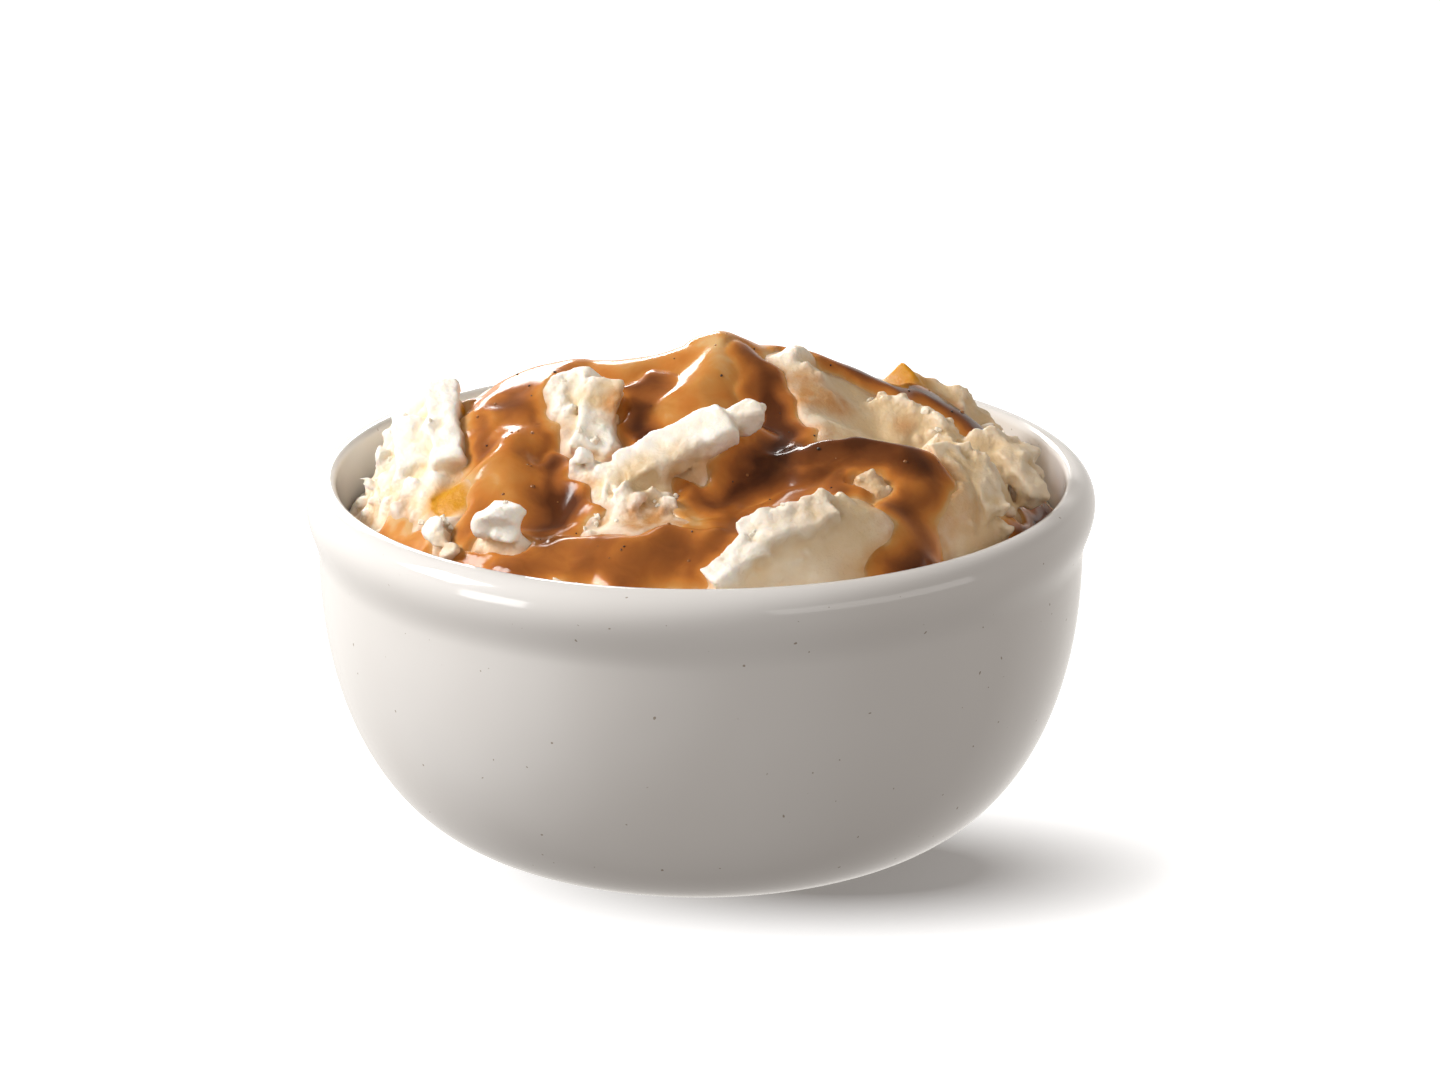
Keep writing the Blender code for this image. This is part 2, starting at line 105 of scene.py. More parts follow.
# A fold is a ridge of mash: its crest line, how steeply it falls to the right and to the left
# of the crest's direction, how round the crest is, and how crumbly it is to the right, to the
# left and along the crest.
Fold = namedtuple("Fold", "crest right left round crumb", defaults=[(0, 0, 0)])
FOLDS = {
    "summit": Fold([(-25, -2, 77), (-14, 0, 77.8), (-6, 0, 78.2), (3, 1, 81)], 0.6, 0.7, 3.2),
    "summit_east": Fold([(3, 1, 81), (10, 1, 78.6), (17, 2, 78.5), (29, 3, 72.5)],
        0.6, 0.7, 3, (0.1, 0.1, 0.2)),
    "spout": Fold([(4, -1, 80.2), (0, -9, 77), (-4, -16, 74)], 0.8, 1, 3),
    "west_shoulder": Fold([(-25, -3, 76), (-32, -7, 73.5), (-35, -15, 70)], 1, 0.8, 2.5),
    "west_swell": Fold([(-30, -14, 72), (-31, -25, 68)], 0.8, 0.8, 4),
    "shard": Fold([(-23.5, -9, 78.4), (-18.5, -10.5, 80.6), (-17, -15, 77.5), (-16, -20, 73)],
        1.6, 1.5, 0.8, (0.3, 0.05, 0.5)),
    "shard_left": Fold([(-20.5, -11, 79), (-21.5, -16, 75)], 1.5, 1.1, 1, (0.8, 0, 0.8)),
    "slab": Fold([(-15, -30, 70), (-7, -28, 73.8), (1, -25.5, 75.4), (8, -22.5, 76)],
        1.4, 1.8, 1, (0.2, 0, 0.2)),
    "slab_tail": Fold([(-17, -29, 70.5), (-15, -34.5, 67.5), (-5, -37, 67)], 1.3, 0.8, 2, (0.8, 0.5, 0.9)),
    "south_bulge": Fold([(-9, -42.5, 63.8), (-1, -42, 64.2)], 0.8, 0.5, 4),
    "gravy_shelf": Fold([(10, -27, 69.5), (20, -26, 71.5), (31, -28, 71), (37, -29, 69)], 0.8, 0.8, 2),
    "shelf_apron": Fold([(25, -33, 67.5), (12, -39, 64), (4, -45, 61)], 0.8, 0.8, 4),
    "tuft": Fold([(25, -34.4, 69.9), (26.8, -35, 69.9)], 1.8, 1.8, 0.8, (0.4, 0.4, 0.8)),
    "scoop_crest": Fold([(0, -56, 59.5), (7, -52, 63.5), (15, -47, 67), (22, -42.5, 69)],
        0.9, 1.5, 1, (0.1, 0.3, 0.5)),
    "scoop_face": Fold([(18, -46, 66.2), (25, -42, 67.2)], 0.8, 0.9, 4),
    "east_run": Fold([(34, -31, 68), (33, -42, 60)], 0.8, 0.8, 4),
    "east_crest": Fold([(37, -19, 71), (43, -22, 70), (46, -28, 65.5), (47, -35, 60)],
        1.3, 1.1, 0.8, (0.1, 0.35, 0.5)),
    "east_slab": Fold([(45, -9, 69.5), (51, -8, 67), (55, -10, 61.5)], 0.9, 1.5, 0.8, (0.1, 0.3, 0.6)),
    "east_ragged": Fold([(30, -3, 73.5), (37, -6, 72), (41, -12, 68.5)], 1, 1.4, 0.6, (0.1, 0.3, 0.75)),
    "east_back": Fold([(30, 11, 67), (36, 14.5, 69.4), (40, 16, 69.8), (45, 16, 69.2),
        (46.6, 15.5, 65.2), (52.5, 13, 63)], 1.1, 1, 0.7, (0.15, 0.2, 0.5)),
    "butter_tip": Fold([(31.5, 14, 70.6), (35, 14.4, 74.2), (38.6, 15, 70)], 0.8, 0.9, 0.5),
    "knob": Fold([(14.6, -1.5, 79.3), (16.4, -2, 79.1)], 1.4, 1.4, 1.8, (0.45, 0.45, 0.5)),
    "knoll": Fold([(14, -4, 77), (17, -14, 73.5)], 0.7, 0.6, 5),
    "west_slab": Fold([(-43, -3, 75), (-42, -8, 74), (-42, -21, 66.5)], 1.4, 1.6, 2, (0.3, 0.05, 0.4)),
    "west_jag": Fold([(-47, -6, 71), (-44, -7, 71), (-43, -17, 66)], 1.3, 1.3, 1, (0.8, 0.6, 1)),
    "west_step": Fold([(-55, -12, 62.5), (-51, -11, 66), (-48, -19, 63)], 1.3, 1.2, 1.5, (0.8, 0.6, 1)),
    "west_low": Fold([(-52, -25, 60.5), (-45, -22, 65), (-41, -28, 62)], 1.1, 1.1, 2, (0.5, 0.6, 0.8)),
    "south_west": Fold([(-41.5, -35, 64), (-38, -43, 60)], 1.5, 1.5, 1.5, (0.5, 0.5, 0.7)),
    "island": Fold([(-31.5, -41.5, 62.8), (-29.5, -42.6, 62.8)], 1.1, 1.1, 2.5, (0.2, 0.2, 0.3)),
    "north": Fold([(-22, 22, 69), (-4, 20, 71), (16, 22, 70)], 0.8, 0.8, 3, (0.3, 0.3, 0.5)),
    "north_low": Fold([(-30, 38, 60), (-8, 42, 62), (14, 40, 63), (30, 32, 63)],
        0.9, 1, 2, (0.5, 0.5, 0.7)),
    "north_west": Fold([(-44, 10, 63), (-38, 20, 65), (-30, 28, 64)], 1, 1, 2, (0.5, 0.6, 0.8)),
    "north_east": Fold([(24, 16, 69), (30, 24, 66), (34, 34, 61)], 1, 1, 2, (0.4, 0.4, 0.7)),
}

# Separate lumps that stand out of the heap, as centre and radius.
LUMPS = [
    (16, 0.2, 77.2, 3.4), (17.6, -3.6, 76.3, 2.2), (26.4, -34.6, 69.9, 1.2), (25, -35.2, 69.2, 1),
    (3.5, -54.5, 59.6, 2.2), (7, -52.5, 62, 2.3), (11.5, -49.5, 64.8, 2.2), (16, -47, 66.8, 2),
    (20, -44.5, 68.6, 1.8), (8.9, -24.6, 77.1, 1.6), (6.2, -26.3, 75.6, 1.4),
    (-31, -42.1, 64.2, 4.2), (-33, -42.8, 63.8, 2.4), (-28.8, -41.8, 65.4, 2.6),
    (-30, -44.3, 63, 2.4), (-18, -29, 70.6, 2), (-15, -34.6, 66.4, 2.2), (-9, -36.5, 66.5, 2),
    (-4.5, -37.2, 65.8, 1.8), (-41.3, -36.5, 61, 2.2), (-40.2, -38.8, 60.4, 2.2),
    (-38.8, -42, 59, 2.2), (-22, -54, 57.9, 1.4), (-19, -55, 58.1, 1.1), (-48, -7.5, 70, 1.7),
    (-52, -10.5, 65, 2), (-54, -12, 60.6, 1.8), (-24, -2.5, 75.8, 1.8), (42, -21, 69.4, 1.7),
    (54, -12, 62.4, 1.7), (33, -4, 72.8, 1.4), (38.5, -7.5, 70.8, 1.5), (7.4, -23.8, 77.4, 1.4),
]

# Planks of mash sheared off by the spoon: centre, direction of length, direction of width, and
# half its length, width and thickness.
PLANKS = [
    ((-16.4, -17.2, 73.4), (-0.15, -0.75, -0.64), (0.98, -0.1, -0.15), (7.2, 3.2, 1.9)),
    ((6.6, -25, 75.7), (0.9, 0.2, 0.35), (0.35, -0.85, -0.35), (2.8, 2.3, 1.9)),
    ((-3.6, -29.4, 72.1), (0.89, 0.25, 0.39), (0.39, -0.84, -0.38), (9.6, 3.7, 2.1)),
    ((-41, -12.5, 70.6), (0.12, -0.88, -0.46), (0.95, 0.05, 0.3), (9.5, 2.9, 1.8)),
    ((-46.5, -13, 67.2), (0.2, -0.85, -0.45), (0.9, 0.25, 0.35), (5.5, 3, 1.6)),
    ((13.5, -48.8, 66.2), (0.92, 0.3, 0.27), (0.3, -0.8, -0.5), (7.5, 3, 1.8)),
    ((5.5, -53.4, 61.2), (0.8, 0.35, 0.5), (0.3, -0.8, -0.5), (5, 2.4, 2)),
    ((39.5, -28, 65.2), (0.1, -0.75, -0.65), (0.95, 0.2, -0.2), (7.5, 2.6, 1.8)),
    ((51.5, -15, 63.2), (0.45, -0.6, -0.6), (0.7, 0.6, 0), (5.5, 2.4, 1.6)),
    ((44.5, -26, 65.2), (0.35, -0.75, -0.55), (0.85, 0.5, -0.1), (6.5, 2.4, 1.6)),
    ((50, -9.5, 66.2), (0.8, -0.45, -0.35), (-0.4, -0.85, 0.3), (4.5, 3.2, 1.5)),
]

# Hollows torn or pressed into the heap: where, half width and depth.
DIPS = {
    "pocket": ([(-10, -15), (-9, -19)], 3.5, 1.5),
    "slab_foot": ([(-1, -35.5), (4, -33.5), (10, -30)], 3.2, 2.5),
    "pit": ([(-24, -33), (-22, -37)], 3.5, 3),
    "gully": ([(12, -14), (13, -22), (11, -28)], 4, 3),
    "wall_gap": ([(57, -6), (56, -16), (52, -24)], 2.6, 4),
    "west_notch": ([(-46, -10), (-45, -15)], 2, 2),
}

# Hollows in the mash that the gravy filled level, so that it is thick and dark there.
BEDS = {
    "pocket": ([(-12.5, -9), (-11, -15), (-10.5, -20)], 4.2, 4.2),
    "gully": ([(11, -8), (13, -16), (10.5, -24), (6, -28)], 4.2, 3.2),
    "pit": ([(-22.5, -31), (-20, -36)], 4.2, 4),
    "shelf": ([(14, -27), (22, -26.5), (30, -28.5), (36, -30)], 3.6, 3.2),
    "shelf_front": ([(10, -30.5), (16, -31)], 3, 1.8),
    "fall": ([(35, -34), (33, -40), (32, -49)], 3.6, 1.7),
    "west": ([(-25, -13), (-23.5, -22), (-23, -29)], 3, 1.3),
    "pool": ([(-14, -50), (0, -50)], 5, 0.9),
    "stripe": ([(26, 5.5), (34, 7), (42, 7), (50, 4)], 3.4, 4.2),
    "wall_gap": ([(57, -6), (56, -16), (52, -24)], 3, 3),
    "west_top": ([(-27, -5), (-31, -12)], 3, 1.2),
    "west_edge": ([(-36, -12), (-35, -22)], 2, 1.2),
}

# Gravy runs: where each one flows in plan, its half width and its thickness.
RUNS = {
    "west_pour": ([(-22, 1), (-32, -8), (-31, -20), (-28, -31), (-24, -38)], 7, 1.5),
    "pit": ([(-24, -27), (-20, -35)], 5, 1.6),
    "west_foot": ([(-33, -33), (-35.5, -39), (-31, -46)], 5, 1.5),
    "west_puddle": ([(-51, -26), (-45, -34)], 3.4, 1.2),
    "south_pool": ([(-30, -47), (-22, -47), (-12, -50), (-2, -50), (4, -46)], 6, 1.8),
    "summit_pour": ([(-20, 0), (-6, 0), (5, 2), (1, -10), (-6, -17)], 7, 0.9),
    "pocket": ([(-9.5, -9), (-11, -21)], 5.8, 1.5),
    "dark_fall": ([(8, -4), (12, -11), (13.5, -20), (14, -27)], 4.2, 1.8),
    "gully": ([(13, -20), (7, -27), (2, -35), (4, -46)], 6, 1.8),
    "shelf": ([(10, -30), (20, -29), (30, -29), (36, -30)], 5, 1.8),
    "apron": ([(22, -35), (12, -39), (2, -45)], 6, 1.6),
    "east_pour": ([(35, -31), (33, -38), (32, -48)], 5, 1.6),
    "back_stripe": ([(12, 6), (26, 5.5), (34, 7), (42, 7.2), (49, 4.5), (53, 1)], 4.6, 1.8),
    "back_pour": ([(4, 4), (2, 18), (-6, 30), (-8, 44)], 8, 1.8),
    "back_branch": ([(2, 16), (14, 26), (20, 40)], 6, 1.6),
    "wall_gap": ([(57, -6), (56, -16), (52, -24)], 3.2, 1.2),
}
# Where the gravy ran thin: where, and its thickness there.
THIN = {
    "bulge": ([(-9, -41), (-2, -41)], 0.5),
    "west_puddle": ([(-51, -26), (-45, -34)], 0.45),
}
# Crests that the gravy left bare: where, and half width.
BARE = {
    "slab": ([(-14, -31), (-6, -30), (-3, -29.5)], 3.4),
    "slab_low": ([(-16, -31), (-14, -34), (-7, -35.5)], 3.2),
    "island": ([(-31.8, -42), (-29.5, -42.6)], 2.3),
    "shard": ([(-22, -10), (-14, -12.5)], 2.6),
    "shard_face": ([(-16.2, -12.5), (-16, -18), (-15.7, -25)], 2.8),
    "tuft": ([(25.2, -35.5), (26.8, -36)], 1.2),
    "knob": ([(16, 0), (18, -3)], 4.2),
}
# Rounded ropes in the gravy's surface, where it folded over itself as it was poured.
ROPES = {
    "blob": ([(-30, -22.5), (-29.5, -24.5)], 4.4, 1.7),
    "west_rope": ([(-37, -6), (-35, -12), (-34, -17)], 2.6, 0.9),
    "shelf_rope": ([(12, -28), (20, -25.5), (28, -27), (37, -28)], 2.2, 0.9),
    "pool_rope": ([(-17, -46), (-8, -47.5), (1, -47)], 1.6, 0.5),
    "summit_rope": ([(5, 1), (1, -8), (-4, -14)], 3, 0.8),
}

# Spots on the mash as centre and reach: melted butter; tan spots, partly gravy that soaked in and partly
# painted shade on faces turned from the light; and a film of gravy that browned it.
BUTTER = [(-39.5, -28.5, 63, 6), (-38, -8, 72, 2.2), (-37.5, -13, 70, 2.2), (35, 14, 72.6, 6),
          (-2, -2, 79, 3)]
SOAKED_AND_SHADED = [(-14.5, -15, 76, 6), (-2, -33, 70, 6), (-9, -34.5, 69, 5), (19, -9, 75, 5),
          (-38, -40, 60, 5), (45, -16, 68, 6)]
STAINED = [(16.5, -8.5, 75.2, 6.5), (22, -8.5, 74, 4.5), (-13, -17, 75.5, 4), (-8, -41, 64, 6),
           (-2.5, -41, 64, 4.5), (33, -10, 71.5, 3.5), (27.5, -42, 64, 4)]

# -------- relief of the heap


def nearest_on(path, x, y):
    """For each point, its distance to the path, its place along it, and the sine of its side."""
    best = np.full(x.shape, np.inf)
    along = np.zeros(x.shape)
    side = np.zeros(x.shape)
    for i, (a, b) in enumerate(zip(path[:-1], path[1:], strict=True)):
        dx, dy = b[0] - a[0], b[1] - a[1]
        length = math.hypot(dx, dy)
        t = np.clip(((x - a[0]) * dx + (y - a[1]) * dy) / length**2, 0, 1)
        px, py = x - a[0] - t * dx, y - a[1] - t * dy
        distance = np.hypot(px, py)
        closer = distance < best
        best = np.where(closer, distance, best)
        along = np.where(closer, i + t, along)
        sine = (px * dy - py * dx) / (length * np.maximum(distance, 1e-6))
        side = np.where(closer, sine, side)
    return best, along, side


def wander(x, y):
    """Bends the plan a little, so that no crest runs straight."""
    bent_x = x + 0.9 * np.sin(0.47 * y + 1.3) + 0.5 * np.sin(0.83 * y - 0.31 * x)
    bent_y = y + 0.9 * np.sin(0.43 * x + 0.4) + 0.5 * np.sin(0.79 * x + 0.37 * y)
    return bent_x, bent_y


def shore_height(x, y):
    """Where the heap meets the bowl: high in front and low behind."""
    angle = np.arctan2(y, x)
    front = (1 - np.sin(angle)) / 2
    return SHORE_BACK + SHORE_RISE * front**2 + 0.5 * np.sin(5 * angle)


def heap_relief(x, y):
    """The height of the mash over each point of the plan, and how crumbly it is there."""
    radius = np.minimum(np.hypot(x, y) / SHORE_RADIUS, 1)
    shore = shore_height(x, y)
    heights = [shore + (HEAP_CROWN - shore) * (1 - radius**HEAP_FALL)]
    crumbs = [np.full(x.shape, 0.6)]
    bent_x, bent_y = wander(x, y)
    jag = 1.1 * plan_noise(x, y, 3.4, 30) + 1.5 * plan_noise(x, y, 1.4, 31)
    for fold in FOLDS.values():
        distance, along, side = nearest_on([p[:2] for p in fold.crest], bent_x, bent_y)
        crest = np.interp(along, range(len(fold.crest)), [p[2] for p in fold.crest])
        right = (side + 1) / 2
        slope = fold.left + (fold.right - fold.left) * right
        torn = fold.crumb[2] * jag * np.exp(-((distance / 2) ** 2))
        heights.append(crest + torn - slope * (np.hypot(distance, fold.round) - fold.round))
        sides = fold.crumb[1] + (fold.crumb[0] - fold.crumb[1]) * right
        crumbs.append(sides + (fold.crumb[2] - sides) * np.exp(-((distance / CREST_WIDTH) ** 2)))
    top = np.max(heights, axis=0)
    weights = np.exp((np.array(heights) - top) / BLEND)
    total = weights.sum(axis=0)
    crumb = (weights * np.array(crumbs)).sum(axis=0) / total
    relief = top + BLEND * np.log(total) - carve(bent_x, bent_y, DIPS)
    reach = np.clip((1 - radius) / EDGE_SHARE, 0, 1)
    reach = reach * reach * (3 - 2 * reach)
    return shore + (relief - shore) * reach, crumb


def carve(x, y, hollows):
    """How deep the given hollows are over each point of the plan."""
    depth = np.zeros(x.shape)
    for path, width, deepest in hollows.values():
        distance = nearest_on(path, x, y)[0]
        depth = np.maximum(depth, deepest * np.exp(-((distance / width) ** 2)))
    return depth


def run_depth(x, y):
    """How thick the gravy is over each point of the plan, below zero where there is none, and
    how much of that is its ropes."""
    depths = []
    for path, width, deepest in RUNS.values():
        distance = nearest_on(path, x, y)[0]
        depths.append(deepest * (1 - (distance / width) ** 3))
    depth = np.minimum(np.max(depths, axis=0), SHORE_RADIUS - 0.3 - np.hypot(x, y))
    for path, width in BARE.values():
        distance = nearest_on(path, x, y)[0]
        depth = np.minimum(depth, 1.2 * (distance - width))
    for path, thickness in THIN.values():
        distance = nearest_on(path, x, y)[0]
        depth = np.minimum(depth, thickness + 0.25 * np.maximum(distance - 1.5, 0))
    ropes = np.where(depth > 0, carve(x, y, ROPES), 0)
    return np.maximum(depth + ropes, -3), ropes


# -------- noise on the grid

LATTICE = 32  # cells along each side of a noise pattern, which then repeats


def lattice_index(cell):
    """The place of each cell in the noise pattern's list of cells."""
    cell = cell % LATTICE
    return (cell[:, 0] * LATTICE + cell[:, 1]) * LATTICE + cell[:, 2]


def smooth_noise(points, scale, seed):
    """Gradient noise, about -1 to 1, with features of the given size."""
    lattice = np.random.default_rng(seed).normal(size=(LATTICE**3, 3)).astype(np.float32)
    lattice /= np.linalg.norm(lattice, axis=1, keepdims=True)
    place = (points / scale).astype(np.float32)
    cell = np.floor(place).astype(np.int32)
    part = place - cell
    fade = part * part * (3 - 2 * part)
    total = np.zeros(len(points), np.float32)
    for corner in np.ndindex(2, 2, 2):
        weight = np.ones(len(points), np.float32)
        for axis in range(3):
            weight *= fade[:, axis] if corner[axis] else 1 - fade[:, axis]
        slope = lattice[lattice_index(cell + np.array(corner, np.int32))]
        total += weight * ((part - np.array(corner, np.float32)) * slope).sum(axis=1)
    return 1.5 * total


def plan_noise(x, y, scale, seed):
    """Smooth noise over the plan."""
    plan = np.column_stack([x.ravel(), y.ravel(), np.zeros(x.size)])
    return smooth_noise(plan, scale, seed).reshape(x.shape)


def chunk_noise(points, scale, seed):
    """Broken chunks: each cell of a random pattern stands at its own height and leans its own way."""
    rng = np.random.default_rng(seed)
    jitter = rng.uniform(0, 1, (LATTICE**3, 3)).astype(np.float32)
    lean = rng.normal(size=(LATTICE**3, 3)).astype(np.float32)
    height = rng.uniform(-1, 1, LATTICE**3).astype(np.float32)
    place = (points / scale).astype(np.float32)
    cell = np.floor(place).astype(np.int32)
    first = np.full(len(points), 9, np.float32)
    second = first.copy()
    owner = np.zeros(len(points), np.int32)
    arm = np.zeros((len(points), 3), np.float32)
    for step in np.ndindex(3, 3, 3):
        near = cell + np.array(step, np.int32) - 1
        index = lattice_index(near)
        offset = place - near - jitter[index]
        distance = (offset * offset).sum(axis=1)
        closer = distance < first
        second = np.where(closer, first, np.minimum(second, distance))
        first = np.where(closer, distance, first)
        owner = np.where(closer, index, owner)
        arm[closer] = offset[closer]
    crease = np.clip((np.sqrt(second) - np.sqrt(first)) / 0.35, 0, 1)
    block = 0.5 * height[owner] + 0.6 * (lean[owner] * arm).sum(axis=1)
    return np.clip(block, -1.2, 1.2) * crease + 0.5 * crease - 0.5


def box_average(field, width, axis):
    """The field averaged along one axis over the given number of cells each way."""
    pad = [(0, 0)] * field.ndim
    pad[axis] = (width + 1, width)
    sums = np.cumsum(np.pad(field, pad, mode="edge"), axis=axis, dtype=np.float64)
    count = 2 * width + 1
    high = np.take(sums, range(count, sums.shape[axis]), axis=axis)
    low = np.take(sums, range(sums.shape[axis] - count), axis=axis)
    return ((high - low) / count).astype(np.float32)


def blur(field, reach, times):
    """The field averaged along each of its axes over about the given reach, a few times."""
    width = max(1, round(reach / VOXEL))
    for axis in range(field.ndim):
        for _ in range(times):
            field = box_average(field, width, axis)
    return field


# -------- sculpting the heap


def grid_axes():
    """The places of the grid's cells along each axis."""
    return [np.arange(*ends, VOXEL) for ends in zip(GRID_LOW, GRID_HIGH, strict=True)]


def wall_radius(height, bottom, start, neck):
    """The radius of a wall that curves from its start at the bottom out to the neck."""
    drop = (NECK_HEIGHT - height) / (NECK_HEIGHT - bottom)
    return start + (neck - start) * math.sqrt(max(0.0, 1 - drop**BODY_POWER))


def cavity_radius(height):
    """The radius of the bowl's inside at a height."""
    inner = NECK_RADIUS - WALL
    if height < NECK_HEIGHT:
        return wall_radius(height, FLOOR, BODY_START - WALL / 2, inner)
    share = (height - NECK_HEIGHT) / (MOUTH_HEIGHT - NECK_HEIGHT)
    return inner + (MOUTH_RADIUS - inner) * min(share, 1)


def soft_min(a, b, reach):
    """The lower of two fields, rounded where they cross."""
    near = np.maximum(reach - np.abs(a - b), 0) / reach
    return np.minimum(a, b) - near * near * reach / 4


def block_around(centre, far, shape):
    """The part of the grid around a centre, and the places of its cells from the centre."""
    low = np.maximum(((centre - GRID_LOW - far) / VOXEL).astype(int), 0)
    high = np.minimum(((centre - GRID_LOW + far) / VOXEL).astype(int) + 2, shape)
    high = np.maximum(high, low)
    spans = [GRID_LOW[i] + np.arange(low[i], high[i]) * VOXEL - centre[i] for i in range(3)]
    block = tuple(slice(a, b) for a, b in zip(low, high, strict=True))
    return block, np.meshgrid(*spans, indexing="ij", sparse=True)


def random_planes(rng, count, nearest, farthest):
    """Planes that cut a ball: each one's direction and its distance from the centre in radii."""
    normals = rng.normal(size=(count, 3))
    normals /= np.linalg.norm(normals, axis=1, keepdims=True)
    return np.column_stack([normals, rng.uniform(nearest, farthest, count)])


def stamp_clump(field, centre, radius, planes, reach):
    """Adds one clump to the field: a ball cut by a few planes."""
    block, (x, y, z) = block_around(centre, 1.6 * radius, field.shape)
    shape = np.sqrt(x * x + y * y + z * z) - radius
    for nx, ny, nz, offset in planes:
        shape = np.maximum(shape, nx * x + ny * y + nz * z - offset * radius)
    field[block] = soft_min(field[block], shape.astype(np.float32), reach)


def stamp_plank(field, centre, along, across, half):
    """Adds a flat sheared block of mash to the field, bent a little by noise."""
    centre = np.array(centre)
    block, place = block_around(centre, np.linalg.norm(half) + 1, field.shape)
    place = list(np.broadcast_arrays(*place))
    points = np.column_stack([part.ravel() for part in place]) + centre
    for i, seed in enumerate((40, 41, 42)):
        bend = 1.0 * smooth_noise(points, 5.0, seed) + 0.5 * smooth_noise(points, 1.8, seed + 3)
        place[i] = place[i] + bend.reshape(place[i].shape)
    along = Vector(along).normalized()
    across = (Vector(across) - along * along.dot(Vector(across))).normalized()
    out = []
    for direction, size in zip((along, across, along.cross(across)), half, strict=True):
        reach = np.abs(sum(d * part for d, part in zip(direction, place, strict=True)))
        out.append(reach - size + PLANK_ROUND)
    shape = np.sqrt(sum(np.maximum(o, 0) ** 2 for o in out)) + np.minimum(np.maximum.reduce(out), 0)
    field[block] = soft_min(field[block], (shape - PLANK_ROUND).astype(np.float32), PLANK_REACH)


def scatter_clumps(field, relief, crumb, count, size, seed, bury):
    """Strews clumps over the crumbly parts of the heap, thickest along the crests."""
    rng = np.random.default_rng(seed)
    for _ in range(count):
        angle, far = rng.uniform(0, 2 * math.pi), SHORE_RADIUS * math.sqrt(rng.uniform(0, 1))
        x, y = far * math.cos(angle), far * math.sin(angle)
        radius = size * rng.uniform(0.55, 1.25)
        planes = random_planes(rng, 5, 0.25, 0.8)
        lift, keep = rng.uniform(-1, 1), rng.uniform(0, 1)
        i, j = int((x - GRID_LOW[0]) / VOXEL), int((y - GRID_LOW[1]) / VOXEL)
        if keep > crumb[i, j] or far > SHORE_RADIUS - radius - 0.5:
            continue
        centre = np.array([x, y, relief[i, j] + radius * (bury + 0.35 * lift)])
        stamp_clump(field, centre, radius, planes, 0.25 * radius + 0.15)


def solid_under(relief, heights):
    """The field of what lies under a relief: below zero inside, in millimetres."""
    slope_x, slope_y = np.gradient(relief, VOXEL)
    lean = 1 / np.sqrt(1 + slope_x**2 + slope_y**2)
    return ((heights - relief[:, :, None]) * lean[:, :, None]).astype(np.float32)


def roughen(field, crumb, axes):
    """Works torn chunks and fine grain into the field's surface, as far as it is crumbly."""
    near = np.nonzero(np.abs(field) < SKIN)
    points = np.column_stack([axes[i][near[i]] for i in range(3)]).astype(np.float32)
    bend = np.column_stack([smooth_noise(points, 3.4, seed) for seed in (1, 2, 3)])
    warped = points + 1.1 * bend
    patches = np.clip(0.75 + 0.9 * smooth_noise(points, 9.0, 9), 0.15, 1.2)
    rough = crumb[near[0], near[1]].astype(np.float32) * patches
    shift = 0.4 * smooth_noise(points, 8.0, 6) + (0.13 + 0.1 * rough) * smooth_noise(warped, 1.7, 7)
    torn = rough > 0.06
    chunks = 0.9 * chunk_noise(warped[torn], 3.8, 4) + 0.5 * chunk_noise(warped[torn], 1.6, 5)
    shift[torn] += rough[torn] * chunks
    field[near] -= shift


def sculpt_heap():
    """The mash and the gravy as fields on the grid, with the gravy's depth, its ropes and how
    crumbly the mash is over each point of the plan."""
    axes = grid_axes()
    x, y = np.meshgrid(axes[0], axes[1], indexing="ij")
    relief, crumb = heap_relief(x, y)
    drift_x, drift_y = wander(x, y)
    drift_x += 1.4 * plan_noise(x, y, 9.0, 20) + 0.7 * plan_noise(x, y, 3.0, 21)
    drift_y += 1.4 * plan_noise(x, y, 9.0, 22) + 0.7 * plan_noise(x, y, 3.0, 23)
    depth, rope = (part.astype(np.float32) for part in run_depth(drift_x, drift_y))
    ripple = 0.25 * plan_noise(x, y, 6.0, 8)
    surface = 0.5 * (blur(relief, 1.2, 3) + blur(relief, 3.2, 3)) + depth + ripple

    wet = np.clip((depth - 0.2) / 0.8, 0, 1)
    crumb = crumb * (1 - wet)
    for lump_x, lump_y, _, radius in LUMPS:
        distance = np.hypot(x - lump_x, y - lump_y)
        crumb = np.maximum(crumb, LUMP_CRUMB * np.exp(-((distance / radius) ** 4)))
    relief = relief - wet * carve(drift_x, drift_y, BEDS)
    field = solid_under(relief, axes[2])
    for plank in PLANKS:
        stamp_plank(field, *plank)
    rng = np.random.default_rng(10)
    for *centre, radius in LUMPS:
        stamp_clump(field, np.array(centre), radius, random_planes(rng, 7, 0.4, 0.9), LUMP_REACH)
    scatter_clumps(field, relief, crumb, *BIG_CLUMPS)
    scatter_clumps(field, relief, crumb, *SMALL_CLUMPS)
    roughen(field, crumb, axes)
    for axis in range(3):
        field = 0.7 * field + 0.3 * box_average(field, 1, axis)

    wall = np.array([cavity_radius(z) for z in axes[2]], np.float32) - WALL_GAP
    radius = np.hypot(x, y).astype(np.float32)
    beyond = radius[:, :, None] - wall
    field = np.maximum(field, beyond)
    gravy = np.maximum(solid_under(surface, axes[2]), -field - GRAVY_SINK)
    return field, np.maximum(gravy, beyond + GRAVY_GAP), depth, rope, crumb


